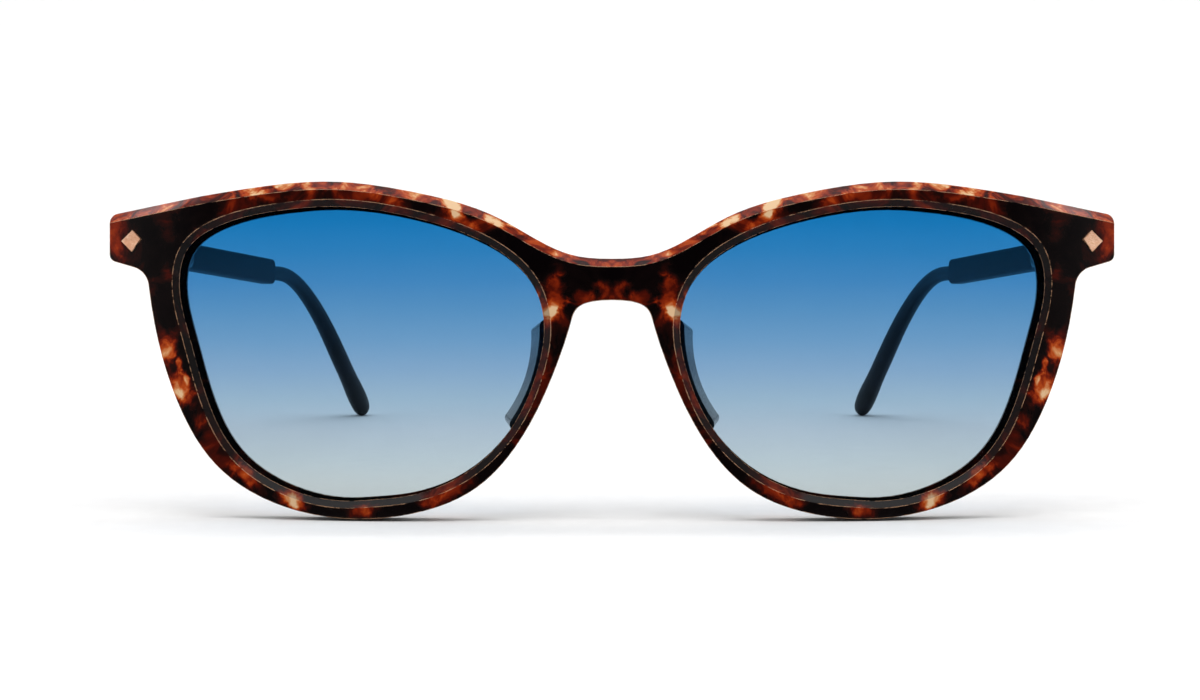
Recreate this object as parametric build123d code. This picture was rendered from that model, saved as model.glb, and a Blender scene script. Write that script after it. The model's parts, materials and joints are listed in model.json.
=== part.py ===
from build123d import *
import os
from math import asin, cos, radians, sin, tan

# Cat eye sunglasses. The parts are drawn with the front upright: X across, the face of the front
# towards -Y, Z up, and Z 0 halfway up the front. At the end everything is tipped back a few degrees,
# so that the open glasses stand on the rims and on the temple tips, on the plane Z 0.
# Sides are the wearer's own: the left temple is on +X. Each side piece is drawn on +X and mirrored.

# Driving sizes of the front, mm
front_width = 141.4          # over the end pieces
lens_width = 51.1            # visible lens, inside the rim
lens_height = 40.6
bridge_width = 18.8          # between the two visible lenses
lens_drop = 0.5              # lens centre below the middle of the front
front_thickness = 4.0
face_radius = 140.0          # plan curve of each half of the face
apex_offset = 23.3           # where each half of the face reaches furthest forward
blend_margin = 0.4           # from the lens bevel to where the face turns into the bridge's hollow

# Rim widths, seen from the front
rim_top = 3.45
rim_brow = 3.65
rim_brow_outer = 4.6
rim_temporal = 4.45
rim_temporal_low = 4.05
rim_lower_outer = 3.2
rim_bottom = 2.5
rim_nasal_low = 1.9
rim_nasal = 2.25
rim_nasal_upper = 3.7
rim_bridge_corner = 6.9
rim_brow_inner = 3.9
bridge_top = 12.65           # height of the bridge's upper edge at the middle
bridge_height = 5.75

# Edges of the front
brow_bevel = 1.15
lens_bevel = 0.95
scoop_width = 6.2            # hollow behind the bridge
scoop_depth = 0.9
scoop_top_margin = 1.3       # left above the hollow

# End pieces
end_piece_drop = 4.2         # outer corner below the top of the brow
end_piece_height = 6.4
end_piece_corner = 1.1       # rounding of the two outer corners
end_piece_sweep = 3.0        # hollow rounding under the end piece
root_flare = 0.15            # how far the rim stands out where it meets the end piece
root_drop = 1.6              # that place, below the end piece's outer corner
root_lean = 0.1              # sideways slope of the rim there
block_step = 0.9             # how far the thick block reaches below the end piece
block_margin = 0.6           # of the thick block inside the hinge leaf

# Lenses
lens_thickness = 2.0
lens_depth = 1.2             # lens front behind the face of the front
groove_depth = 0.6
lens_clearance = 0.05
rear_lip = 0.35              # the rear lip stands this much inside the front lip

# Diamond inlays
inlay_size = 3.0
inlay_depth = 0.8
inlay_crown = 0.3
inlay_clearance = 0.02
inlay_inset = 3.3            # centre of the inlay from the outer side of the end piece
inlay_height = 15.3

# Nose pads
pad_reach = 6.2              # behind the back of the rim
pad_splay = 2.2              # how far the pad's free edge stands out from its root
pad_root_width = 2.4
pad_edge_width = 1.5
pad_edge_inset = 1.2         # the free edge is this much shorter at each end
pad_round = 0.5

# Hinges
hinge_inset = 4.9            # hinge axis inside the outer side of the end piece
hinge_height_mid = 15.2
hinge_height = 4.0
hinge_setback = 2.6          # axis behind the mitred back of the end piece
knuckle_radius = 1.3
knuckle_height = 1.2         # of the two fixed knuckles
knuckle_gap = 0.08
leaf_thickness = 0.8
front_leaf_length = 6.0
front_leaf_overlap = 0.6     # past the axis, towards the arm
temple_leaf_start = 1.7      # from the axis
temple_leaf_length = 8.0
temple_leaf_height = 3.2
screw_radius = 0.7
screw_fit = 0.05             # radial clearance in the turning knuckle
screw_seat = 0.02            # radial clearance in the fixed knuckles
screw_head_radius = 1.1
screw_head_height = 0.45
screw_slot = 0.3
rivet_radius = 0.55
rivet_head_radius = 0.9
rivet_head_height = 0.3
rivet_grip = 1.8             # how deep a rivet is sunk in the plastic
rivet_seat = 0.02            # radial clearance of a rivet in its hole
rivet_pitch = 2.1
hinge_block_rise = 1.2       # how far the end block stands behind the back of the rim

# Temples
temple_lean = 6.4            # degrees inward when open
temple_slope = 0.84          # degrees down towards the ear
tip_slope = 45.9             # degrees down
tip_tuck = 21.7              # degrees inward
temple_straight = 93.5       # from the mitre to the start of the bend
bend_radius = 37.4
tail_length = 18.8           # straight end after the bend
arm_length = 83.0            # from the mitre to the step
arm_thickness = 2.8
arm_height_front = 3.9
arm_height_rear = 4.3
arm_corner = 1.2
arm_round = 0.6
arm_offset = 1.8             # inner face of the arm outside the hinge axis
arm_drop = 0.4               # centre line of the arm below the hinge's middle
stop_gap = 0.08              # open arm to mitre
tip_neck_height = 2.5
tip_neck_thickness = 2.1
tip_end_height = 4.3
tip_end_thickness = 3.3
wire_radius = 0.6
wire_clearance = 0.05
wire_start = 13.0            # from the front end of the arm
wire_end_margin = 7.0        # short of the end of the tip

# Working values
REACH = 40.0                 # longer than anything that is cut
HALF = front_width / 2
LENS_X = (bridge_width + lens_width) / 2
LENS_Z = -lens_drop
BROW_TOP = LENS_Z + lens_height / 2 + rim_top
END_TOP = BROW_TOP - end_piece_drop
END_BOTTOM = END_TOP - end_piece_height
HINGE_X = HALF - hinge_inset
BLEND_X = bridge_width / 2 - lens_bevel - blend_margin
HOLLOW_TURN = asin((apex_offset - BLEND_X) / face_radius)

# The lens shape on a unit square: across from nose (-1) to temple (+1), and up
LENS_SHAPE = [
    (0.00, -1.000), (0.40, -0.915), (0.69, -0.660), (0.85, -0.280), (0.943, 0.120),
    (1.00, 0.470), (0.955, 0.715), (0.77, 0.880), (0.45, 0.975), (0.10, 1.000),
    (-0.30, 0.925), (-0.68, 0.755), (-0.93, 0.490), (-1.00, 0.200), (-0.965, -0.110),
    (-0.84, -0.475), (-0.58, -0.810), (-0.28, -0.963),
]


def lens_outline(margin, shift=0.0):
    """Closed lens-shaped wire in the XZ plane, `margin` outside the visible lens."""
    half_w = lens_width / 2 + margin
    half_h = lens_height / 2 + margin
    points = [(LENS_X + shift + u * half_w, 0, LENS_Z + v * half_h) for u, v in LENS_SHAPE]
    return Wire(Spline(points, periodic=True))


def rim_point(index, width):
    """Point of the front's outer edge, `width` outside one of the lens shape's points."""
    edge = lens_outline(0).edges()[0]
    u, v = LENS_SHAPE[index]
    point = Vector(LENS_X + u * lens_width / 2, 0, LENS_Z + v * lens_height / 2)
    along = edge.tangent_at(edge.param_at_point(point))
    outward = Vector(along.Z, 0, -along.X)
    if outward.dot(point - Vector(LENS_X, 0, LENS_Z)) < 0:
        outward = -outward
    return point + outward * width


def closed_face(lines):
    """Flat face inside a closed loop of lines."""
    return Face(Wire([edge for line in lines for edge in line.edges()]))


def front_outline():
    """Face of the whole front in the XZ plane, before its corners are rounded."""
    brow = [
        rim_point(12, rim_bridge_corner), rim_point(11, rim_brow_inner), rim_point(10, rim_top),
        rim_point(9, rim_top), rim_point(8, rim_brow), rim_point(7, rim_brow_outer),
    ]
    under = [
        rim_point(4, rim_temporal), rim_point(3, rim_temporal_low), rim_point(2, rim_lower_outer),
        rim_point(1, rim_bottom), rim_point(0, rim_bottom), rim_point(17, rim_bottom),
        rim_point(16, rim_bottom), rim_point(15, rim_nasal_low), rim_point(14, rim_nasal),
        rim_point(13, rim_nasal_upper),
    ]
    top_mid = Vector(0, 0, bridge_top)
    low_mid = Vector(0, 0, bridge_top - bridge_height)
    outer_top = Vector(HALF, 0, END_TOP)
    outer_low = Vector(HALF, 0, END_BOTTOM)
    root = Vector(LENS_X + lens_width / 2 + rim_temporal + root_flare, 0, END_BOTTOM - root_drop)
    brow_slope = (outer_top - brow[-1]).normalized()
    side_slope = Vector(-root_lean, 0, -1)
    brow_edge = Spline(top_mid, *brow, outer_top, tangents=[(1, 0, 0), brow_slope])
    under_edge = Spline(root, *under, low_mid, tangents=[side_slope, (-1, 0, 0)])
    half = [brow_edge, Line(outer_top, outer_low), Line(outer_low, root), under_edge]
    return closed_face(half + [mirror(edge, about=Plane.YZ) for edge in half])


def face_point(x, depth=0.0):
    """Point on the face's plan curve at x, then `depth` behind it along the normal."""
    angle = asin((x - apex_offset) / face_radius)
    radius = face_radius - depth
    return Vector(apex_offset + radius * sin(angle), face_radius - radius * cos(angle), 0)


def plan_edges(depth):
    """The face's plan curve, `depth` behind the face, as left, bridge and right arcs."""
    inner = face_point(BLEND_X, depth)
    middle = face_point((BLEND_X + HALF) / 2, depth)
    outer = face_point(HALF + 4, depth)
    right = ThreePointArc(inner, middle, outer)
    left = mirror(right, about=Plane.YZ)
    dip = BLEND_X * tan(HOLLOW_TURN / 2)
    hollow = Vector(0, face_point(BLEND_X).Y + dip + depth, 0)
    bridge = ThreePointArc(mirror_point(inner), hollow, inner)
    return left, bridge, right


def mirror_point(point):
    """The same point on the other side."""
    return Vector(-point.X, point.Y, point.Z)


def slab(front_depth, back_depth):
    """Everything between two depths behind the face, full height."""
    near, far = plan_edges(front_depth), plan_edges(back_depth)
    sides = []
    for sign in (1, -1):
        a, b = face_point(HALF + 4, front_depth), face_point(HALF + 4, back_depth)
        sides.append(Line((sign * a.X, a.Y, 0), (sign * b.X, b.Y, 0)))
    return extrude(closed_face([*near, *far, *sides]), REACH, both=True)


def prism(face):
    """A face of the XZ plane, extruded right through the front."""
    return extrude(face, REACH, dir=(0, 1, 0), both=True)


def both(part):
    """A side piece and its mirror image."""
    return {"left": part, "right": mirror(part, about=Plane.YZ)}


# The temple's own directions when it is open: along it, and outward from the head
ALONG = Vector(-sin(radians(temple_lean)), cos(radians(temple_lean)), 0)
OUTWARD = Vector(cos(radians(temple_lean)), sin(radians(temple_lean)), 0)
MITRE = Vector(HINGE_X, face_point(HINGE_X, front_thickness).Y + hinge_block_rise, 0)
HINGE = MITRE + ALONG * hinge_setback + Vector(0, 0, hinge_height_mid)
HINGE_PLANE = Plane(origin=HINGE, x_dir=OUTWARD, z_dir=(0, 0, 1))


def in_hinge(part):
    """Moves a part drawn about the hinge axis, X outward and Y along the temple, to its place."""
    return HINGE_PLANE * part


def hinge_box(outward, along, up):
    """Box given by its (low, high) limits outward, along and up from the hinge's middle."""
    size = [high - low for low, high in (outward, along, up)]
    middle = [(high + low) / 2 for low, high in (outward, along, up)]
    return Pos(*middle) * Box(*size)


def end_block():
    """The thicker block behind the end piece, which carries the hinge."""
    inner = -front_leaf_length - block_margin
    low = END_BOTTOM - block_step - hinge_height_mid
    depth = (-hinge_setback - front_thickness, -hinge_setback)
    return in_hinge(hinge_box((inner, 2 * hinge_inset), depth, (low, REACH)))


def mitre_cut():
    """Everything behind the mitre, outside the hinge, where the open temple stands against it."""
    return in_hinge(hinge_box((0, 2 * hinge_inset), (-hinge_setback, REACH), (-REACH, REACH)))


def inlay_plane():
    """Plane on the face at the middle of the inlay, looking forward."""
    x = HALF - inlay_inset
    point = face_point(x)
    slope = asin((x - apex_offset) / face_radius)
    forward = Vector(sin(slope), -cos(slope), 0)
    middle = point + Vector(0, 0, inlay_height)
    return Plane(origin=middle, x_dir=(cos(slope), sin(slope), 0), z_dir=forward)


def inlay_prism(margin, depth, height):
    """Kite-shaped prism on the inlay's plane, from `depth` below the face to `height` above."""
    reach = inlay_size / 2 + margin
    kite = Polygon((-reach, 0.25), (-0.1, reach), (reach, 0), (0, -reach), align=None)
    return inlay_plane() * (Pos(0, 0, -depth) * extrude(kite, depth + height, dir=(0, 0, 1)))


def inlay():
    """Diamond inlay with two facets that meet in a ridge across its middle."""
    body = inlay_prism(-inlay_clearance, inlay_depth, inlay_crown)
    half = inlay_size / 2
    floor = [(-half, -inlay_depth), (half, -inlay_depth)]
    gable = Polygon(*floor, (half, 0), (0, inlay_crown), (-half, 0), align=None)
    return body & (inlay_plane() * extrude(Plane.YZ * gable, inlay_size, both=True))


def front_blank():
    """The front cut from its sheet: outline, plan curve and thick end blocks."""
    blank = prism(front_outline())
    low, high = END_BOTTOM - root_drop - 0.9, END_BOTTOM - root_drop + 0.6
    hollows = [e for e in blank.edges().filter_by(Axis.Y) if low < e.center().Z < high]
    blank = fillet(hollows, end_piece_sweep)
    envelope = slab(0, front_thickness)
    for block in both(end_block()).values():
        envelope += block - slab(-REACH / 2, front_thickness / 2)
    for cut in both(mitre_cut()).values():
        envelope -= cut
    return blank & envelope


def brow_edges(part):
    """Front edges along the top, from one end piece over the bridge to the other."""
    found = []
    for edge in part.edges():
        middle = edge @ 0.5
        on_face = on_front_face(edge)
        outside = abs(middle.X) < BLEND_X or middle.Z > LENS_Z + lens_height / 4
        top = middle.Z > bridge_top - bridge_height / 2 and middle.Z > END_TOP - 1.6
        arch = abs(middle.X) < LENS_X and middle.Z > bridge_top - 1
        if on_face and outside and (top or arch):
            found.append(edge)
    return found


def on_front_face(edge):
    """True where the whole edge lies on the face of the front."""
    for share in (0.1, 0.5, 0.9):
        point = edge @ share
        x = abs(point.X)
        if x < BLEND_X + 0.2:
            if point.Y > face_point(0).Y + 0.3:
                return False
        elif abs((Vector(x, point.Y, 0) - face_point(x)).Y) > 0.05:
            return False
    return True


def lens_edges(part):
    """Front edges of the two lens openings."""
    low, high = LENS_X - lens_width / 2 - 0.2, LENS_X + lens_width / 2 + 0.2
    found = []
    for edge in part.edges():
        box = edge.bounding_box()
        near, far = sorted((abs(box.min.X), abs(box.max.X)))
        flat = box.max.Z < LENS_Z + lens_height / 2 + 0.2 and box.min.Z > LENS_Z - lens_height / 2 - 0.2
        if on_front_face(edge) and low < near and far < high and flat:
            found.append(edge)
    return found


def lens_openings():
    """Everything cut away for one lens: opening, groove and the slightly smaller rear opening."""
    front = prism(Face(lens_outline(0))) & slab(-2, lens_depth + lens_thickness / 2)
    groove = prism(Face(lens_outline(groove_depth)))
    groove &= slab(lens_depth - lens_clearance, lens_depth + lens_thickness + lens_clearance)
    rear = prism(Face(lens_outline(-rear_lip, -rear_lip))) & slab(lens_depth, REACH / 2)
    return front, groove, rear


def bridge_scoop():
    """Shallow upright hollow behind the bridge."""
    depth = face_point(BLEND_X).Y + front_thickness + BLEND_X * tan(HOLLOW_TURN / 2)
    height = bridge_top - scoop_top_margin
    hollow = extrude(Ellipse(scoop_width / 2, scoop_depth), REACH / 2, both=True)
    return Pos(0, depth, height - REACH / 2) * hollow


def front_frame():
    """The acetate front with its bevels, lens grooves, inlay pockets and rivet holes."""
    part = front_blank()
    part = chamfer(brow_edges(part), brow_bevel)
    corners = [e for e in part.edges().filter_by(Axis.Y) if abs(abs(e.center().X) - HALF) < 0.01]
    part = fillet(corners, end_piece_corner)
    cuts = [both(cut) for cut in lens_openings()]
    part -= [cuts[0]["left"], cuts[0]["right"]]
    part = chamfer(lens_edges(part), lens_bevel)
    for cut in cuts[1:]:
        part -= [cut["left"], cut["right"]]
    pocket = inlay_prism(0, inlay_depth, inlay_size)
    holes = [in_hinge(rivet_hole(place)) for place in front_rivet_places()]
    for tool in [pocket, *holes]:
        part -= list(both(tool).values())
    return part - bridge_scoop()


def lens():
    """Lens of even thickness, seated in its groove with a small clearance."""
    edge = groove_depth - lens_clearance
    return prism(Face(lens_outline(edge))) & slab(lens_depth, lens_depth + lens_thickness)


def pad_profile(shift, inset, width, behind):
    """Bent slot that follows the nasal rim, in an upright plane `behind` the apex of the face."""
    ends = [rim_point(13, rim_nasal / 2), rim_point(14, rim_nasal / 2), rim_point(15, rim_nasal_low / 2)]
    top, middle, low = [Vector(p.X + shift, p.Z) for p in ends]
    down = (low - top).normalized()
    arc = ThreePointArc(top + down * inset, middle, low - down * inset)
    return Plane.XZ.offset(-behind) * SlotArc(arc, width)


def nose_pad():
    """Pad glued behind the nasal rim, splayed outward towards the face."""
    root_depth = front_thickness / 2
    free_depth = face_point(BLEND_X).Y + front_thickness + pad_reach
    root = pad_profile(0, 0, pad_root_width, root_depth)
    free = pad_profile(pad_splay, pad_edge_inset, pad_edge_width, free_depth)
    pad = loft([root, free])
    pad = fillet(pad.faces().sort_by(Axis.Y)[-1].edges(), pad_round)
    return pad - slab(-REACH / 2, front_thickness)


def front_rivet_places():
    """Planes of the two front rivets on the leaf's visible side, looking back."""
    first = -front_leaf_length + rivet_head_radius + 0.3
    back = -hinge_setback + leaf_thickness
    spots = [(first + i * rivet_pitch, back, 0) for i in (0, 1)]
    return [Plane(origin=spot, x_dir=(1, 0, 0), z_dir=(0, 1, 0)) for spot in spots]


def temple_rivet_places():
    """Planes of the two temple rivets on the leaf's visible side, looking inward."""
    first = temple_leaf_start + temple_leaf_length - rivet_head_radius - 0.6
    inner = arm_offset - leaf_thickness
    return [
        Plane(origin=(inner, first - i * 1.6 * rivet_pitch, -arm_drop), x_dir=(0, 1, 0), z_dir=(-1, 0, 0))
        for i in (0, 1)
    ]


def rivet_hole(place):
    """Hole for one rivet through leaf and plastic."""
    depth = leaf_thickness + rivet_grip + 0.05
    return place * (Pos(0, 0, -depth) * extrude(Circle(rivet_radius + rivet_seat), depth + 1))


def rivet(place):
    """Rivet with a low domed head."""
    depth = leaf_thickness + rivet_grip
    shank = Pos(0, 0, -depth) * extrude(Circle(rivet_radius), depth)
    head = extrude(Circle(rivet_head_radius), rivet_head_height)
    head = fillet(head.faces().sort_by(Axis.Z)[-1].edges(), rivet_head_height * 0.7)
    return place * (shank + head)


def rivets(places):
    """The rivets of one leaf, as separate solids."""
    return Compound(children=[in_hinge(rivet(place)) for place in places])


def fixed_levels():
    """Heights of the two fixed knuckles, from the hinge's middle."""
    top = hinge_height / 2
    return [(top - knuckle_height, top), (-top, -top + knuckle_height)]


def turning_level():
    """Height of the turning knuckle between them."""
    top = hinge_height / 2 - knuckle_height - knuckle_gap
    return -top, top


def knuckle(level, bore):
    """One knuckle round the hinge axis."""
    low, high = level
    ring = Circle(knuckle_radius) - Circle(bore)
    return Pos(0, 0, low) * extrude(ring, high - low)


def bore_cut(level, bore):
    """The space of the bore at one level."""
    low, high = level
    return Pos(0, 0, low) * extrude(Circle(bore), high - low)


def front_hinge_leaf():
    """Leaf on the back of the end piece, with two knuckles."""
    top = hinge_height / 2
    across = (-front_leaf_length, front_leaf_overlap)
    leaf = hinge_box(across, (-hinge_setback, leaf_thickness - hinge_setback), (-top, top))
    bore = screw_radius + screw_seat
    for level in fixed_levels():
        neck = hinge_box((-knuckle_radius, front_leaf_overlap), (leaf_thickness - hinge_setback, 0), level)
        leaf += neck - bore_cut(level, bore)
        leaf += knuckle(level, bore)
    for place in front_rivet_places():
        leaf -= rivet_hole(place)
    return in_hinge(leaf)


def temple_hinge_leaf():
    """Leaf on the inside of the arm, with one knuckle."""
    half = temple_leaf_height / 2
    inner = arm_offset - leaf_thickness
    end = temple_leaf_start + temple_leaf_length
    leaf = hinge_box((inner, arm_offset), (temple_leaf_start, end), (-arm_drop - half, -arm_drop + half))
    bore = screw_radius + screw_fit
    level = turning_level()
    neck = hinge_box((0, arm_offset), (0, temple_leaf_start), level)
    leaf += neck - bore_cut(level, bore)
    leaf += knuckle(level, bore)
    for place in temple_rivet_places():
        leaf -= rivet_hole(place)
    return in_hinge(leaf)


def hinge_screw():
    """Pivot screw with a slotted head."""
    top = hinge_height / 2
    shank = Pos(0, 0, -top) * extrude(Circle(screw_radius), hinge_height)
    head = Pos(0, 0, top) * extrude(Circle(screw_head_radius), screw_head_height)
    head = fillet(head.faces().sort_by(Axis.Z)[-1].edges(), screw_head_height / 3)
    slot = Pos(0, 0, top + screw_head_height) * Box(REACH, screw_slot, screw_head_height)
    return in_hinge(shank + head - slot)


def direction(inward, down):
    """Unit vector along a temple that leans inward and slopes down, in degrees."""
    flat = cos(radians(down))
    return Vector(-sin(radians(inward)) * flat, cos(radians(inward)) * flat, -sin(radians(down)))


ARM_WAY = direction(temple_lean, temple_slope)
TIP_WAY = direction(tip_tuck, tip_slope)
ARM_START = (HINGE + OUTWARD * (arm_offset + arm_thickness / 2) - Vector(0, 0, arm_drop)
             + ALONG * (stop_gap - hinge_setback))
BEND = radians(ARM_WAY.get_angle(TIP_WAY))
BEND_SIDE = (TIP_WAY - ARM_WAY * cos(BEND)).normalized()
BEND_NORMAL = ARM_WAY.cross(BEND_SIDE)
BEND_LENGTH = bend_radius * BEND
TEMPLE_LENGTH = temple_straight + BEND_LENGTH + tail_length


def temple_point(run):
    """Point on the temple's centre line, `run` from its front end, and the direction there."""
    turn = min(max(run - temple_straight, 0) / bend_radius, BEND)
    straight = min(run, temple_straight)
    tail = max(run - temple_straight - BEND_LENGTH, 0)
    point = ARM_START + ARM_WAY * (straight + bend_radius * sin(turn))
    point += BEND_SIDE * (bend_radius * (1 - cos(turn))) + TIP_WAY * tail
    return point, ARM_WAY * cos(turn) + BEND_SIDE * sin(turn)


def centre_line(start, end):
    """The centre line between two runs, as straight, bend and straight."""
    bend_end = temple_straight + BEND_LENGTH
    runs = (start, temple_straight, temple_straight + BEND_LENGTH / 2, bend_end, end)
    at = [temple_point(run)[0] for run in runs]
    return Wire([Edge.make_line(at[0], at[1]), Edge.make_three_point_arc(at[1], at[2], at[3]),
                 Edge.make_line(at[3], at[4])])


def core_wire(radius, extra=0.0):
    """Steel core of the temple, or its hole with a larger radius and `extra` at each end."""
    start = wire_start - extra
    path = centre_line(start, TEMPLE_LENGTH - wire_end_margin + extra)
    return sweep(Plane(origin=path @ 0, z_dir=ARM_WAY) * Circle(radius), path=path)


def temple_arm():
    """Slim flat bar with a rounded step at the ear tip and a hole for the core wire."""
    front, rear = arm_height_front / 2, arm_height_rear / 2
    side = Polygon((0, -front), (arm_length, -rear), (arm_length, rear), (0, front), align=None)
    side = fillet(side.vertices().sort_by(Axis.X)[-2:], arm_corner)
    upright = Plane(origin=ARM_START, x_dir=ARM_WAY, z_dir=OUTWARD)
    bar = extrude(side, arm_thickness / 2, both=True)
    faces = bar.faces().sort_by(Axis.Z)
    bar = fillet(faces[0].edges() + faces[-1].edges(), arm_round)
    arm = upright * bar - core_wire(wire_radius + wire_clearance, wire_clearance)
    for place in temple_rivet_places():
        arm -= in_hinge(rivet_hole(place))
    return arm


def tip_section(run, share):
    """Oval section of the ear tip at one run, `share` of its full size."""
    spread = (run - arm_length) / (TEMPLE_LENGTH - arm_length)
    grow = spread * spread * (3 - 2 * spread)
    height = tip_neck_height + (tip_end_height - tip_neck_height) * grow
    thickness = tip_neck_thickness + (tip_end_thickness - tip_neck_thickness) * grow
    point, way = temple_point(run)
    plane = Plane(origin=point, x_dir=way.cross(BEND_NORMAL), z_dir=way)
    return plane * Ellipse(share * height / 2, share * thickness / 2)


def temple_tip():
    """Ear tip: an oval rod that widens round the bend to a rounded end."""
    cap = tip_end_height / 2
    runs = [arm_length + (TEMPLE_LENGTH - cap - arm_length) * i / 9 for i in range(10)]
    sections = [tip_section(run, 1) for run in runs]
    for turn in (30, 55, 75, 86):
        run = TEMPLE_LENGTH - cap + cap * sin(radians(turn))
        sections.append(tip_section(run, cos(radians(turn))))
    return loft(sections) - core_wire(wire_radius + wire_clearance, wire_clearance)


def side_parts():
    """Every piece that is made once for each side, as drawn on +X."""
    return {
        "lens": lens(),
        "nose_pad": nose_pad(),
        "endpiece_inlay": inlay(),
        "front_hinge_leaf": front_hinge_leaf(),
        "front_hinge_rivets": rivets(front_rivet_places()),
        "temple_hinge_leaf": temple_hinge_leaf(),
        "temple_hinge_rivets": rivets(temple_rivet_places()),
        "hinge_screw": hinge_screw(),
        "temple_core_wire": core_wire(wire_radius),
        "temple_arm": temple_arm(),
        "temple_tip": temple_tip(),
    }


def all_parts():
    """Every node of the glasses, with the front upright."""
    parts = {"front_frame": front_frame()}
    for name, part in side_parts().items():
        for side, piece in both(part).items():
            parts[f"{name}_{side}"] = piece
    return parts


def lowest(part, tip):
    """Lowest point of a part after tipping back by `tip` degrees."""
    return (Rot(-tip, 0, 0) * part).bounding_box().min.Z


def resting_tip(front, ear_tip):
    """Angle at which the rims and the temple tips stand on one plane."""
    low, high = 0.0, 20.0
    for _ in range(24):
        tip = (low + high) / 2
        if lowest(ear_tip, tip) > lowest(front, tip):
            low = tip
        else:
            high = tip
    return tip


def whole_box(parts):
    """Lowest and highest corner of the box round several parts."""
    boxes = [part.bounding_box() for part in parts]
    low = Vector(*[min(tuple(box.min)[i] for box in boxes) for i in range(3)])
    high = Vector(*[max(tuple(box.max)[i] for box in boxes) for i in range(3)])
    return low, high


def main():
    """Builds every piece, stands the glasses on the plane Z 0 and writes one file for each node."""
    parts = all_parts()
    tip = resting_tip(parts["front_frame"], parts["temple_tip_left"])
    tipped = {name: Rot(-tip, 0, 0) * part for name, part in parts.items()}
    low, high = whole_box(tipped.values())
    rest = Pos(-(low.X + high.X) / 2, -(low.Y + high.Y) / 2, -low.Z)
    os.makedirs("parts", exist_ok=True)
    for name, part in tipped.items():
        export_step(rest * part, f"parts/{name}.step")
    place = rest * Rot(-tip, 0, 0)
    axis = place * Pos(*HINGE)
    print("tip", round(tip, 4), "size", high - low)
    print("hinge", axis.position, "face apex", (place * Pos(*face_point(apex_offset))).position)


if __name__ == "__main__":
    main()
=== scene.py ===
"""Looks of a pair of cat eye sunglasses: polished tortoiseshell front, graded lenses, navy temples."""

import json
import logging
import math
from dataclasses import dataclass, field
from enum import Enum
from typing import Any, Sequence, Union

import bpy
from mathutils import Matrix, Vector

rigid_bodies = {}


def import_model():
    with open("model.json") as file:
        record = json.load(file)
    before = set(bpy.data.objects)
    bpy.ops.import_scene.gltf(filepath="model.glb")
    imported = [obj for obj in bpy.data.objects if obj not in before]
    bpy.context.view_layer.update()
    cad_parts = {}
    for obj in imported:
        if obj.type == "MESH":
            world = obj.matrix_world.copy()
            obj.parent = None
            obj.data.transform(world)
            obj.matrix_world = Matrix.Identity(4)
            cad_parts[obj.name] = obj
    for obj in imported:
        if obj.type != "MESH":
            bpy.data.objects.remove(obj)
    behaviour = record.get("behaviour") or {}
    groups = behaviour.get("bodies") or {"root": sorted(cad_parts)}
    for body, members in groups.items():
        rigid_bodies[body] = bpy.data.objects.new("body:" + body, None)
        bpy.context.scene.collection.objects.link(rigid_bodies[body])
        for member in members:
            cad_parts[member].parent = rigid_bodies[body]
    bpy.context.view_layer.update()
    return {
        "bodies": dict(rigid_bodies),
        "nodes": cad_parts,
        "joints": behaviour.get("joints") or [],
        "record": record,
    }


LOG = logging.getLogger("sunglasses")
MM = 0.001
HINGE_BEHIND = 14.20    # hinge axis behind the front's face, mm
HINGE_RISE = 15.2       # middle of the hinge above the middle of the front, mm
PLASTIC_IOR = 1.49      # cellulose acetate; also used for the nylon and the paper
LENS_IOR = 1.586        # polycarbonate
LENS_FACES = 2          # faces of a lens that a ray passes
GRAZING_POWER = 5.0     # how sharply the mirror reflection rises towards grazing
SLANT_START = (0.3, 0.45)   # forward share of a normal where a side wall turns into a bevel
SLANT_END = (0.9, 0.82)     # forward share where the bevel turns into the flat face
BROW_RISE = (0.22, 0.36)    # upward share of a normal on the brow's bevel
BROW_HEIGHT = (3.5, 5.5)    # height above the middle where the brow's bevel starts, mm
EDGE_BEND = (0.99, 0.95)    # agreement of the flat and the rounded normal at an edge
EDGE_VEINS = (0.38, 0.55)   # veins that break the painted edge highlights into lengths
MILK_RADIUS = (0.002, 0.0015, 0.001)    # how far red, green and blue light goes into plastic, metres
SENSOR_WIDTH = 36.0     # mm
NEAR_CLIP = 0.01        # metres

Socket = bpy.types.NodeSocket
Value = Union[float, Sequence[float], Socket]


def linear(code: str) -> tuple[float, float, float, float]:
    """Turns an sRGB hex colour into the linear values that shaders use.

    Args:
        code: colour such as "#1c1413".

    Returns:
        Red, green, blue and alpha, linear.
    """
    parts = [int(code[i:i + 2], 16) / 255 for i in (1, 3, 5)]
    lit = [c / 12.92 if c <= 0.04045 else ((c + 0.055) / 1.055) ** 2.4 for c in parts]
    return lit[0], lit[1], lit[2], 1.0


class Side(Enum):
    """The wearer's own sides."""

    LEFT = "left"
    RIGHT = "right"


class Space(Enum):
    """Where a pattern takes its millimetres from."""

    FRONT = "front, upright and mirrored about the middle"
    PIECE = "the piece itself, as it stands at rest"


@dataclass(frozen=True)
class Stance:
    """How the open glasses stand: the front leans back on its rims.

    Args:
        tilt: lean of the front in radians.
        middle: the middle of the front's face in the row frame, metres.
    """

    tilt: float
    middle: Vector

    @property
    def up(self) -> Vector:
        """Direction up along the front."""
        return Vector((0, math.sin(self.tilt), math.cos(self.tilt)))

    @property
    def forward(self) -> Vector:
        """Direction that the lenses face."""
        return Vector((0, -math.cos(self.tilt), math.sin(self.tilt)))


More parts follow.
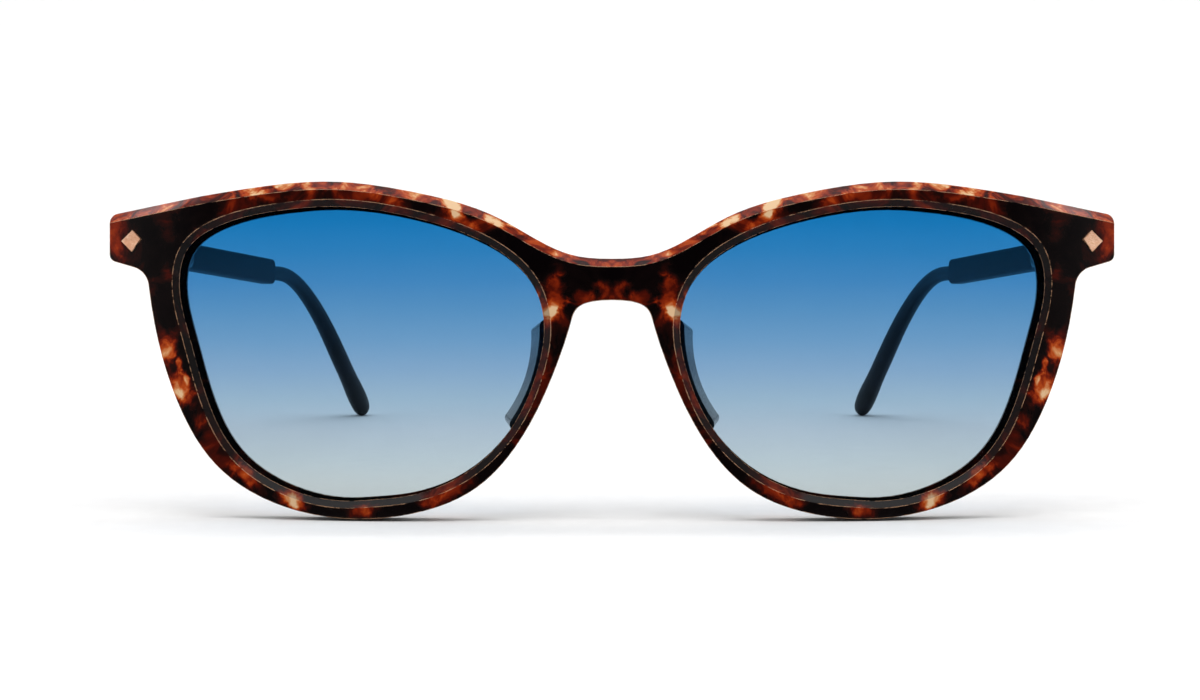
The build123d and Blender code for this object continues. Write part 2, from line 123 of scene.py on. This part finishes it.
class Wiring:
    """A node tree under construction, with one way of adding any node."""

    def __init__(self, tree: bpy.types.NodeTree) -> None:
        """Starts with an empty tree.

        Args:
            tree: the tree, which is cleared.
        """
        self.tree = tree
        self.tree.nodes.clear()

    def add(self, kind: str, inputs: Union[Sequence[Value], dict[Any, Value]] = (),
            out: Union[int, str] = 0, **settings: Any) -> Socket:
        """Adds one node with its settings and links.

        Args:
            kind: node type without its ShaderNode prefix.
            inputs: a value or socket for each input, in order, or by name or number.
            out: name or number of the output that is wanted.
            settings: properties of the node.

        Returns:
            That output.
        """
        node = self.tree.nodes.new("ShaderNode" + kind)
        for key, value in settings.items():
            setattr(node, key, value)
        given = inputs if isinstance(inputs, dict) else dict(enumerate(inputs))
        for key, value in given.items():
            if isinstance(value, Socket):
                self.tree.links.new(value, node.inputs[key])
            else:
                node.inputs[key].default_value = value
        return node.outputs[out]

    def close(self, shader: Socket, kind: str) -> None:
        """Links the finished shader to a new output node of this kind."""
        self.tree.links.new(shader, self.tree.nodes.new("ShaderNode" + kind).inputs["Surface"])


class Painter(Wiring):
    """A material under construction."""

    def __init__(self, name: str, stance: Stance) -> None:
        """Starts an empty material.

        Args:
            name: what the real material is and how its surface was made.
            stance: how the front stands.
        """
        self.material = bpy.data.materials.new(name)
        self.material.use_nodes = True
        self.stance = stance
        super().__init__(self.material.node_tree)

    def millimetres(self, space: Space) -> Socket:
        """Position in millimetres.

        Args:
            space: upright front, mirrored to both sides, or the piece itself.

        Returns:
            The position.
        """
        where = self.add("TexCoord", out="Object")
        if space is Space.PIECE:
            return self.add("VectorMath", {0: where, "Scale": 1 / MM}, operation="SCALE")
        place = {"Vector": where, "Location": self.stance.middle,
                 "Rotation": (-self.stance.tilt, 0, 0), "Scale": (MM, MM, MM)}
        upright = self.add("Mapping", place, vector_type="TEXTURE")
        parts = self.add("SeparateXYZ", (upright,)).node.outputs
        across = self.add("Math", (parts[0],), operation="ABSOLUTE")
        return self.add("CombineXYZ", (across, parts[1], parts[2]))

    def noise(self, where: Socket, size: float, detail: float = 3.0, rough: float = 0.5,
              twist: float = 0.0, stretch: Sequence[float] = (1, 1, 1)) -> Socket:
        """Soft random pattern of a real size, which may be longer one way.

        Args:
            where: position in millimetres.
            size: size of the pattern in millimetres.
            detail: number of finer layers.
            rough: strength of the finer layers.
            twist: how far the pattern is warped.
            stretch: how much longer the pattern is along each axis.

        Returns:
            Value about 0.5.
        """
        squeeze = [1 / share for share in stretch]
        laid = self.add("VectorMath", (where, squeeze), operation="MULTIPLY")
        pattern = {"Vector": laid, "Scale": 1 / size, "Detail": detail,
                   "Roughness": rough, "Distortion": twist}
        return self.add("TexNoise", pattern)

    def vary(self, pattern: Socket, middle: float, swing: float) -> Socket:
        """Value that swings about a middle.

        Args:
            pattern: pattern about 0.5.
            middle: value where the pattern is 0.5.
            swing: how far the value goes from the pattern's lowest to its highest.

        Returns:
            The value.
        """
        return self.add("Math", (pattern, swing, middle - swing / 2), operation="MULTIPLY_ADD")

    def steps(self, *edges: tuple[Socket, float, float]) -> Socket:
        """Smooth steps, multiplied with each other.

        Args:
            edges: for each step a value, where it gives 0 and where it gives 1.

        Returns:
            1 where every step gives 1.
        """
        rises = [self.add("MapRange", edge, interpolation_type="SMOOTHSTEP") for edge in edges]
        product = rises[0]
        for rise in rises[1:]:
            product = self.add("Math", (product, rise), operation="MULTIPLY")
        return product

    def colours(self, value: Socket, stops: Sequence[tuple[float, str]]) -> Socket:
        """Colour that changes with a value.

        Args:
            value: 0 to 1.
            stops: place and sRGB hex colour of each stop, in rising order.

        Returns:
            The colour.
        """
        colour = self.add("ValToRGB", (value,))
        band = colour.node.color_ramp.elements
        for _ in stops[len(band):]:
            band.new(1.0)
        for element, (place, code) in zip(band, stops):
            element.position = place
            element.color = linear(code)
        return colour

    def finish(self, shader: Socket) -> bpy.types.Material:
        """Links the finished shader to the output and returns the material."""
        self.close(shader, "OutputMaterial")
        return self.material


@dataclass(frozen=True)
class Patch:
    """One placed patch of colour in the acetate.

    Args:
        across: distance from the middle of the front, mm.
        height: above the middle of the front, mm.
        width: half width, mm.
        length: half length, mm.
        turn: turn in degrees.
        strength: how far it lifts the colour towards cream; below 0 it darkens.
    """

    across: float
    height: float
    width: float
    length: float
    turn: float = 0.0
    strength: float = 0.5


PATCHES = (
    Patch(8.2, 7.0, 2.4, 4.0, 8, 0.44),
    Patch(7.9, 6.4, 1.0, 2.0, 5, 0.16),
    Patch(4.2, 7.2, 2.2, 1.5, 0, 0.30),
    Patch(0.0, 10.6, 3.3, 1.3, 0, -0.35),
    Patch(0.0, 8.0, 2.8, 1.2, 0, 0.10),
    Patch(62.2, -0.2, 1.8, 2.2, 10, 0.40),
    Patch(60.1, -5.4, 2.1, 2.7, -20, 0.40),
    Patch(60.3, -6.2, 0.7, 1.1, -30, 0.14),
    Patch(60.4, -2.0, 0.5, 1.3, -15, 0.34),
    Patch(59.3, -4.0, 0.4, 1.2, -15, 0.24),
    Patch(57.4, -9.9, 1.3, 1.4, 0, 0.26),
    Patch(50.9, -17.3, 2.6, 1.2, 40, 0.38),
    Patch(44.2, -20.8, 2.6, 1.2, 22, 0.38),
    Patch(34.5, -22.3, 2.0, 1.0, 0, 0.22),
    Patch(22.0, -19.6, 2.6, 1.1, -30, 0.30),
    Patch(15.5, -13.2, 1.8, 1.1, -50, 0.18),
    Patch(56.8, 22.4, 1.5, 1.0, -15, 0.30),
    Patch(46.4, 23.2, 2.8, 0.9, 0, 0.32),
    Patch(47.2, 21.4, 2.6, 1.1, 0, 0.24),
    Patch(31.5, 20.9, 2.6, 0.9, 14, 0.20),
    Patch(27.0, 21.6, 1.4, 1.0, 0, 0.30),
    Patch(22.3, 19.9, 2.4, 1.1, 28, 0.32),
    Patch(20.5, 17.8, 2.8, 0.8, 30, 0.28),
    Patch(15.5, 17.6, 2.6, 1.0, 32, 0.34),
    Patch(66.5, 14.0, 4.0, 6.0, 0, -0.20),
    Patch(61.5, 11.5, 1.6, 2.2, 0, 0.18),
    Patch(58.0, 18.6, 4.2, 2.2, -25, -0.40),
    Patch(62.5, 6.0, 2.2, 3.2, 0, -0.12),
    Patch(12.6, 14.4, 3.6, 2.2, 35, -0.45),
    Patch(9.6, 11.8, 1.8, 1.6, 0, -0.35),
    Patch(9.2, -6.0, 2.0, 5.0, 25, -0.20),
)
PATCH_OUT = 1.25    # share of a patch's half width where it has faded out
PATCH_IN = 0.35     # share where it is at full strength


@dataclass(frozen=True)
class Tortoiseshell:
    """Cellulose acetate in tortoiseshell, tumbled and buffed to a high polish.

    The buffing leaves a smooth, even gloss over mottling that lies below the surface. The reflection is
    kept weaker than on real acetate, so that the dark areas stay black. The upward-facing bevel along the
    brow is painted lighter amber, as painted light falling from above. Fine amber lines are painted along
    the thin buffed edges as highlights.

    Args:
        mottle: size of the natural mottling, mm.
        polish: roughness of the buffed surface.
        edge: radius that the buffing leaves on every edge, mm.
        amber: mean strength of the amber in the natural mottling.
        contrast: how far the mottling swings about it.
        lit_brow_least: least amber painted on the brow's upward-facing bevel, as light from above.
        bevel_shade: how far the bevels round the lenses are darkened with painted shade.
        edge_highlight_strength: strength of the light in the thin edges.
        mirror: strength of the mirror reflection, kept low so that the dark face stays black.
        bevel_shade_tone: colour that the bevels round the lenses darken to.
        edge_highlight_tone: colour of the light in the thin edges.
        band: strength of the amber and its colour there.
    """

    mottle: float = 6.5
    polish: float = 0.09
    edge: float = 0.16
    amber: float = 0.39
    contrast: float = 1.9
    lit_brow_least: float = 0.52
    bevel_shade: float = 0.45
    # glint: strength of the highlights painted on the thin edges.
    edge_highlight_strength: float = 0.85
    mirror: float = 0.1
    # bevel_shade_tone: colour of the painted shade on the bevels round the lenses.
    bevel_shade_tone: str = "#0d0808"
    # edge_highlight_tone: colour of the highlights painted on the thin edges.
    edge_highlight_tone: str = "#e8b48c"
    band: tuple[tuple[float, str], ...] = (
        (0.0, "#050203"), (0.30, "#0d0606"), (0.42, "#240b08"), (0.54, "#491007"),
        (0.67, "#85260c"), (0.80, "#b84a1a"), (0.92, "#d58f59"), (1.0, "#e9c398"),
    )

    def field(self, paint: Painter, where: Socket) -> Socket:
        """Strength of the amber in the acetate, from 0 (black brown) to 1 (cream).

        Args:
            paint: the material.
            where: position in millimetres on the upright front.

        Returns:
            The strength.
        """
        mottling = paint.noise(where, self.mottle, detail=4, rough=0.55, twist=0.7)
        amber = paint.vary(mottling, self.amber, self.contrast)
        warp = paint.vary(paint.noise(where, size=1.6, rough=0.6, twist=0.5), middle=0, swing=1.5)
        flat = paint.add("VectorMath", (where, (1, 0, 1)), operation="MULTIPLY")
        for patch in PATCHES:
            oval = {"Vector": flat, "Location": (patch.across, 0, patch.height),
                    "Rotation": (0, math.radians(-patch.turn), 0), "Scale": (patch.width, 1, patch.length)}
            near = paint.add("Mapping", oval, vector_type="TEXTURE")
            far = paint.add("VectorMath", (near,), "Value", operation="LENGTH")
            ragged = paint.add("Math", (far, warp), operation="ADD")
            hold = paint.steps((ragged, PATCH_OUT, PATCH_IN))
            amber = paint.add("Math", (hold, patch.strength, amber), operation="MULTIPLY_ADD")
        return amber

    def bevels(self, paint: Painter, where: Socket) -> tuple[Socket, Socket]:
        """Masks of the brow's bevel and of the bevels round the lenses.

        Args:
            paint: the material.
            where: position in millimetres on the upright front.

        Returns:
            The brow's mask and the lens bevels' mask.
        """
        normal = paint.add("NewGeometry", out="True Normal")
        rise = paint.add("VectorMath", (normal, paint.stance.up), "Value", operation="DOT_PRODUCT")
        front = paint.add("VectorMath", (normal, paint.stance.forward), "Value", operation="DOT_PRODUCT")
        height = paint.add("SeparateXYZ", (where,), "Z")
        slanted = paint.steps((front, *SLANT_START), (front, *SLANT_END))
        upper = paint.steps((rise, *BROW_RISE), (height, *BROW_HEIGHT))
        brow = paint.add("Math", (upper, slanted), operation="MULTIPLY")
        rest = paint.add("Math", (1.0, brow), operation="SUBTRACT")
        return brow, paint.add("Math", (slanted, rest), operation="MULTIPLY")

    def painted_brow_light(self, paint: Painter, where: Socket, amber: Socket, brow: Socket) -> Socket:
        """Lifts the amber on the brow's upward-facing bevel: painted light from above.

        Args:
            paint: the material.
            where: position in millimetres on the upright front.
            amber: strength of the amber.
            brow: mask of the brow's bevel.

        Returns:
            The strength with the painted light on the brow.
        """
        at_least = paint.add("Math", (amber, self.lit_brow_least), operation="MAXIMUM")
        raised = paint.add("Math", (at_least, amber), operation="SUBTRACT")
        streaks = paint.noise(where, size=2.0, rough=0.6, twist=0.8, stretch=(1.4, 1, 1))
        streaks = paint.vary(streaks, middle=0.13, swing=1.3)
        lift = paint.add("Math", (raised, streaks), operation="ADD")
        return paint.add("Math", (brow, lift, amber), operation="MULTIPLY_ADD")

    def painted_edge_highlights(self, paint: Painter, where: Socket, soft: Socket) -> Socket:
        """Mask of the highlights painted along the thin buffed edges.

        Args:
            paint: the material.
            where: position in millimetres on the upright front.
            soft: surface normal with rounded edges.

        Returns:
            The mask.
        """
        veins = paint.noise(where, size=1.1, rough=0.6, twist=1.2, stretch=(2.4, 1, 0.7))
        hard = paint.add("NewGeometry", out="True Normal")
        bend = paint.add("VectorMath", (soft, hard), "Value", operation="DOT_PRODUCT")
        lines = paint.steps((bend, *EDGE_BEND), (veins, *EDGE_VEINS))
        return paint.add("Math", (lines, self.edge_highlight_strength), operation="MULTIPLY")

    def material(self, stance: Stance) -> bpy.types.Material:
        """Builds the material for a front that stands as `stance` says."""
        paint = Painter("tortoiseshell acetate, buffed", stance)
        where = paint.millimetres(Space.FRONT)
        brow, bevel = self.bevels(paint, where)
        # Painted light: the brow's upward-facing bevel is lifted to a lighter amber.
        amber = self.painted_brow_light(paint, where, self.field(paint, where), brow)
        colour = paint.colours(amber, self.band)
        # Painted shade: the bevels round the lenses are darkened towards bevel_shade_tone.
        bevel_shade = paint.add("Math", (bevel, self.bevel_shade), operation="MULTIPLY")
        colour = paint.add("Mix", {0: bevel_shade, 6: colour, 7: linear(self.bevel_shade_tone)}, 2, data_type="RGBA")
        soft = paint.add("Bevel", {"Radius": self.edge * MM}, samples=6)
        # Painted highlights: fine cream-amber lines laid over the colour along the buffed edges.
        bright = self.painted_edge_highlights(paint, where, soft)
        colour = paint.add("Mix", {0: bright, 6: colour, 7: linear(self.edge_highlight_tone)}, 2, data_type="RGBA")
        rough = paint.vary(paint.noise(where, size=0.35, detail=2), self.polish, swing=0.05)
        ripple = paint.noise(where, size=4.0, detail=2, rough=0.4)
        relief = {"Height": ripple, "Strength": 0.05, "Distance": 0.05 * MM, "Normal": soft}
        normal = paint.add("Bump", relief)
        shader = paint.add("BsdfPrincipled", {"Base Color": colour, "Roughness": rough, "Normal": normal,
                                              "IOR": PLASTIC_IOR, "Specular IOR Level": self.mirror})
        return paint.finish(shader)


@dataclass(frozen=True)
class GradedLens:
    """Polycarbonate lens, dip-tinted blue from the top down and hard coated.

    The dip leaves the tint deep under the brow and nearly clear at the bottom.

    Args:
        stops: height on the upright front in mm and the colour of white seen through the lens there.
        low: height of the first stop of the ramp, mm.
        high: height of the last, mm.
        mirror: share of the gloss when a face is seen square on; it grows towards grazing. The gloss
            mirrors only a part of that share, so a lens seen square on mirrors almost nothing.
        depth: how far the gloss below the coating is darkened, so that it adds no haze.
        coat: mean roughness of the hard coat.
    """

    stops: tuple[tuple[float, str], ...] = (
        (-21.0, "#c4cecf"), (-19.3, "#bfcacc"), (-15.1, "#b2c3cc"), (-11.0, "#a5b9c9"), (-6.9, "#92afc5"),
        (-2.8, "#7ea2c3"), (1.4, "#6897c0"), (5.5, "#558dbc"), (9.6, "#4082b9"), (13.8, "#2b7ab5"),
        (17.9, "#1874b3"), (20.5, "#126fae"),
    )
    low: float = -21.0
    high: float = 20.5
    mirror: float = 0.04
    depth: float = 0.92
    coat: float = 0.02

    def material(self, stance: Stance) -> bpy.types.Material:
        """Builds the material: a ray passes two faces, so each takes the square root of the tint."""
        paint = Painter("polycarbonate, blue gradient tint, hard coated", stance)
        where = paint.millimetres(Space.FRONT)
        height = paint.add("SeparateXYZ", (where,), "Z")
        drift = paint.vary(paint.noise(where, size=9.0, detail=2), middle=0, swing=0.8)
        height = paint.add("Math", (height, drift), operation="ADD")
        share = paint.add("MapRange", (height, self.low, self.high))
        span = self.high - self.low
        tint = paint.colours(share, [((z - self.low) / span, code) for z, code in self.stops])
        root = paint.add("Gamma", (tint, 1 / LENS_FACES))
        clear = paint.add("BsdfTransparent", (root,))
        rough = paint.vary(paint.noise(where, size=0.5, detail=2), self.coat, swing=0.02)
        deep = paint.add("Mix", {0: self.depth, 6: tint, 7: (0, 0, 0, 1)}, 2, data_type="RGBA")
        gloss = paint.add("BsdfPrincipled", {"Base Color": deep, "Roughness": rough, "IOR": LENS_IOR})
        facing = paint.add("LayerWeight", {"Blend": 0.5}, "Facing")
        graze = paint.add("Math", (facing, GRAZING_POWER), operation="POWER")
        shine = paint.add("Math", (graze, 1 - self.mirror, self.mirror), operation="MULTIPLY_ADD")
        return paint.finish(paint.add("MixShader", (shine, clear, gloss)))


@dataclass(frozen=True)
class Plastic:
    """Moulded or tumbled plastic with a faint grain.

    Args:
        name: what it is and how its surface was made.
        dark: darker colour of its mottling.
        light: lighter colour of its mottling.
        rough: mean roughness.
        grain: size of the surface's grain, mm.
        relief: height of the grain, mm.
        stretch: how much longer the mottling is along each axis.
        milk: share of light that goes below the surface.
        mirror: strength of its mirror reflection, 0.5 as its IOR gives it.
    """

    name: str
    dark: str
    light: str
    rough: float
    grain: float = 0.3
    relief: float = 0.004
    stretch: tuple[float, float, float] = (1, 1, 1)
    milk: float = 0.0
    mirror: float = 0.5

    def material(self, stance: Stance) -> bpy.types.Material:
        """Builds the material."""
        paint = Painter(self.name, stance)
        where = paint.millimetres(Space.PIECE)
        cloud = paint.noise(where, size=5.0, rough=0.55, twist=0.4, stretch=self.stretch)
        mottle = {0: paint.steps((cloud, 0.35, 0.65)), 6: linear(self.dark), 7: linear(self.light)}
        colour = paint.add("Mix", mottle, 2, data_type="RGBA")
        grain = paint.noise(where, self.grain, detail=2, rough=0.6)
        rough = paint.vary(grain, self.rough, swing=0.12)
        bump = paint.add("Bump", {"Height": grain, "Strength": 0.3, "Distance": self.relief * MM})
        shader = paint.add("BsdfPrincipled", {"Base Color": colour, "Roughness": rough, "Normal": bump,
                                              "IOR": PLASTIC_IOR, "Subsurface Weight": self.milk,
                                              "Specular IOR Level": self.mirror,
                                              "Subsurface Radius": MILK_RADIUS})
        return paint.finish(shader)


@dataclass(frozen=True)
class Metal:
    """Plated or bare metal with the marks of its finishing.

    Args:
        name: what it is and how its surface was made.
        dark: colour in the marks.
        light: colour between them.
        rough: mean roughness.
        mark: width of the marks, mm; finer ones are drawn at this width so that they show.
        stretch: how much longer the marks are along each axis.
        relief: depth of the marks, mm.
    """

    name: str
    dark: str
    light: str
    rough: float
    mark: float = 0.12
    stretch: tuple[float, float, float] = (1, 1, 1)
    relief: float = 0.004

    def material(self, stance: Stance) -> bpy.types.Material:
        """Builds the material."""
        paint = Painter(self.name, stance)
        where = paint.millimetres(Space.PIECE)
        marks = paint.noise(where, self.mark, rough=0.6, stretch=self.stretch)
        tarnish = paint.noise(where, size=1.8, rough=0.6)
        worn = paint.steps((marks, 0.3, 0.7), (tarnish, 0.2, 0.6))
        shades = {0: worn, 6: linear(self.dark), 7: linear(self.light)}
        colour = paint.add("Mix", shades, 2, data_type="RGBA")
        rough = paint.vary(marks, self.rough, swing=0.2)
        bump = paint.add("Bump", {"Height": marks, "Strength": 0.4, "Distance": self.relief * MM})
        shader = paint.add("BsdfPrincipled", {"Base Color": colour, "Roughness": rough, "Normal": bump,
                                              "Metallic": 1.0})
        return paint.finish(shader)


# Polished smoky acetate: grey and slightly milky, so that the pads just show through the lenses.
PAD = Plastic("smoky pad acetate, polished", "#3a3836", "#5f5b57", rough=0.16, milk=0.2)
# Navy nylon with a satin eroded mould finish: nearly black, with a broad soft sheen.
ARM = Plastic("navy nylon, satin moulded", "#010307", "#060c17", rough=0.46, stretch=(1, 6, 1), mirror=0.2)
# The same nylon hand-smoothed at the tips: slightly tighter sheen than the arm.
TIP = Plastic("navy nylon, smoothed tip", "#010307", "#050a14", rough=0.44, stretch=(1, 4, 1), mirror=0.25)
# Rose gold plate over brass, lapped flat: fine marks one way, warm satin facets.
ROSE_GOLD = Metal("rose gold plate, lapped", "#d39a78", "#f4cfb2", rough=0.46, mark=0.1, stretch=(6, 1, 1))
# Nickel silver, stamped and barrel tumbled: even grey with a soft directionless haze.
NICKEL = Metal("nickel silver, tumbled", "#8d8980", "#c9c4b8", rough=0.34, mark=0.16)
# Stainless steel turned on a lathe: bright, with fine rings about its own upright axis.
TURNED = Metal("stainless steel, turned", "#9b9da1", "#dcdee2", rough=0.20, mark=0.1, stretch=(4, 4, 1))
# Cold-drawn steel wire: long marks along the draw.
DRAWN = Metal("steel core wire, drawn", "#7f8186", "#bcbec3", rough=0.28, mark=0.12, stretch=(1, 9, 1))


@dataclass
class SubAssembly:
    """Pieces that are dressed together.

    Args:
        stance: how the front stands.
    """

    frame: dict[str, Any]
    stance: Stance

    def dress(self, node: str, material: bpy.types.Material, slot: str) -> bpy.types.Object:
        """Gives one CAD node its finish.

        Args:
            node: name of the node.
            material: finish.
            slot: the record's material slot for it; not used.

        Returns:
            The node's object.
        """
        piece = self.frame["nodes"][node]
        for place in piece.material_slots:
            place.material = material
        if not piece.material_slots:
            piece.data.materials.append(material)
        LOG.info("dressed %s in %s", node, material.name)
        return piece

    def dress_pairs(self, finishes: dict[str, tuple[bpy.types.Material, str]]) -> None:
        """Dresses the left and right node of each name.

        Args:
            finishes: material and slot by the name without its side.
        """
        for name, (material, slot) in finishes.items():
            for side in Side:
                self.dress(f"{name}_{side.value}", material, slot)


@dataclass
class Front(SubAssembly):
    """The front with its lenses, pads and inlays.

    Args:
        acetate: finish of the front itself.
        tint: finish of the lenses.
    """

    acetate: Tortoiseshell = field(default_factory=Tortoiseshell)
    tint: GradedLens = field(default_factory=GradedLens)

    def build(self) -> None:
        """Dresses every piece of the front."""
        self.dress("front_frame", self.acetate.material(self.stance), "tortoise_acetate")
        self.dress_pairs({
            "lens": (self.tint.material(self.stance), "blue_gradient_lens"),
            "nose_pad": (PAD.material(self.stance), "clear_pad"),
            "endpiece_inlay": (ROSE_GOLD.material(self.stance), "rose_gold"),
        })


@dataclass
class Hinges(SubAssembly):
    """Hinge leaves, their rivets and the pivot screws."""

    def build(self) -> None:
        """Dresses every piece of the two hinges."""
        nickel = NICKEL.material(self.stance)
        self.dress_pairs({
            "front_hinge_leaf": (nickel, "hinge_steel"),
            "front_hinge_rivets": (nickel, "hinge_steel"),
            "temple_hinge_leaf": (nickel, "hinge_steel"),
            "temple_hinge_rivets": (nickel, "hinge_steel"),
            "hinge_screw": (TURNED.material(self.stance), "screw_steel"),
        })


@dataclass
class Temples(SubAssembly):
    """Arms, ear tips and the core wires inside them."""

    def build(self) -> None:
        """Dresses every piece of the two temples."""
        self.dress_pairs({
            "temple_arm": (ARM.material(self.stance), "navy_arm"),
            "temple_tip": (TIP.material(self.stance), "navy_tip"),
            "temple_core_wire": (DRAWN.material(self.stance), "core_steel"),
        })


@dataclass(frozen=True)
class Softbox:
    """One soft lamp.

    Args:
        name: where it stands.
        place: its position, metres.
        size: width and height, metres.
        power: watts.
        aim: point that it lights, metres.
    """

    name: str
    place: tuple[float, float, float]
    size: tuple[float, float]
    power: float
    aim: tuple[float, float, float] = (0.0, 0.0, 0.02)


@dataclass
class Studio:
    """White sweep, soft lamps and the camera.

    Args:
        stance: how the front stands.
        reach: half width of the sweep, metres.
        depth: how far behind the glasses the sweep turns up, metres.
        distance: camera to the front, metres.
        focal: focal length, mm.
        shift: sideways shift of the picture.
        daylight: strength of the surrounding light.
        floor: how far the sweep's floor reaches in front of the middle, metres.
        bend: radius of the sweep's bend, metres.
        wall: height of the sweep's wall, metres.
        card_edge: agreement with the lenses' direction where the dark card starts and is full.
        card_glow: light of the white room and of the dark card.
        lamps: the soft lamps.
    """

    stance: Stance
    reach: float = 2.5
    depth: float = 1.4
    distance: float = 0.360
    focal: float = 78.5
    shift: float = -0.01
    daylight: float = 0.85
    floor: float = 2.5
    bend: float = 0.5
    wall: float = 3.0
    card_edge: tuple[float, float] = (0.60, 0.86)
    card_glow: tuple[float, float] = (1.0, 0.06)
    lamps: tuple[Softbox, ...] = (
        Softbox("overhead", (0.0, -0.12, 0.62), (0.55, 0.35), 1.3),
        Softbox("left strip", (-0.62, -0.18, 0.22), (0.12, 0.5), 0.5),
        Softbox("right strip", (0.62, -0.18, 0.22), (0.12, 0.5), 0.5),
        Softbox("wall wash", (0.0, 0.55, 1.6), (2.6, 0.4), 21.0, (0.0, 1.95, 0.5)),
    )

    def sweep(self) -> bpy.types.Object:
        """Builds the white paper sweep: floor, bend and wall in one sheet."""
        line = [(-self.floor, 0.0), (self.depth, 0.0)]
        line += [(self.depth + self.bend * math.sin(a), self.bend * (1 - math.cos(a)))
                 for a in (math.radians(turn) for turn in range(5, 95, 5))]
        line.append((self.depth + self.bend, self.wall))
        points = [(x, y, z) for y, z in line for x in (-self.reach, self.reach)]
        faces = [(2 * i, 2 * i + 1, 2 * i + 3, 2 * i + 2) for i in range(len(line) - 1)]
        mesh = bpy.data.meshes.new("paper_sweep")
        mesh.from_pydata(points, [], faces)
        mesh.polygons.foreach_set("use_smooth", [True] * len(faces))
        sheet = bpy.data.objects.new("paper_sweep", mesh)
        bpy.context.scene.collection.objects.link(sheet)
        paper = Plastic("background paper, matt", "#f4f4f4", "#f6f6f6", rough=0.85, grain=0.6,
                        relief=0.002, mirror=0.1)
        mesh.materials.append(paper.material(self.stance))
        return sheet

    def surroundings(self) -> None:
        """White room with a dark card where the lenses face, which keeps their colour clean."""
        world = bpy.data.worlds.new("studio")
        world.use_nodes = True
        sky = Wiring(world.node_tree)
        where = sky.add("TexCoord", out="Generated")
        toward = sky.add("VectorMath", (where, self.stance.forward), "Value", operation="DOT_PRODUCT")
        card = (toward, *self.card_edge, *self.card_glow)
        light = sky.add("MapRange", card, interpolation_type="SMOOTHSTEP")
        glow = sky.add("Background", {"Color": light, "Strength": self.daylight})
        sky.close(glow, "OutputWorld")
        bpy.context.scene.world = world

    def lamp(self, box: Softbox) -> bpy.types.Object:
        """Hangs one soft lamp."""
        data = bpy.data.lights.new(box.name, "AREA")
        data.shape = "RECTANGLE"
        data.size, data.size_y = box.size
        data.energy = box.power
        lamp = bpy.data.objects.new(box.name, data)
        lamp.location = box.place
        aim = Vector(box.aim) - lamp.location
        lamp.rotation_euler = aim.to_track_quat("-Z", "Y").to_euler()
        bpy.context.scene.collection.objects.link(lamp)
        return lamp

    def camera(self) -> bpy.types.Object:
        """Sets the camera square to the front."""
        data = bpy.data.cameras.new("camera")
        data.lens = self.focal
        data.sensor_width = SENSOR_WIDTH
        data.shift_x = self.shift
        data.clip_start = NEAR_CLIP
        eye = bpy.data.objects.new("camera", data)
        across = Vector((1, 0, 0))
        turn = Matrix((across, self.stance.up, self.stance.forward)).transposed()
        place = self.stance.middle + self.stance.forward * self.distance
        eye.matrix_world = Matrix.Translation(place) @ turn.to_4x4()
        bpy.context.scene.collection.objects.link(eye)
        bpy.context.scene.camera = eye
        return eye

    def build(self) -> None:
        """Builds the whole studio."""
        self.sweep()
        self.surroundings()
        for box in self.lamps:
            self.lamp(box)
        self.camera()
        view = bpy.context.scene.view_settings
        view.view_transform = "Standard"
        view.look = "None"
        LOG.info("studio ready with %d lamps", len(self.lamps))


def read_stance(frame: dict[str, Any]) -> Stance:
    """Finds how the front stands from the axis and position of a temple hinge.

    Returns:
        The stance.
    """
    joint = frame["joints"][0]
    axis = Vector(joint["axis"])
    stance = Stance(math.atan2(abs(axis.y), abs(axis.z)), Vector((0, 0, 0)))
    hinge = Vector(joint["pos_m"]) * Vector((0, 1, 1))
    middle = hinge + stance.forward * HINGE_BEHIND * MM - stance.up * HINGE_RISE * MM
    return Stance(stance.tilt, middle)


def main() -> None:
    """Loads the frame, dresses each sub-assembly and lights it."""
    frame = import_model()
    stance = read_stance(frame)
    for part in (Front(frame, stance), Hinges(frame, stance), Temples(frame, stance)):
        part.build()
        LOG.info("%s done", type(part).__name__)
    Studio(stance).build()


if __name__ == "__main__":
    logging.basicConfig(level=logging.INFO)
    main()
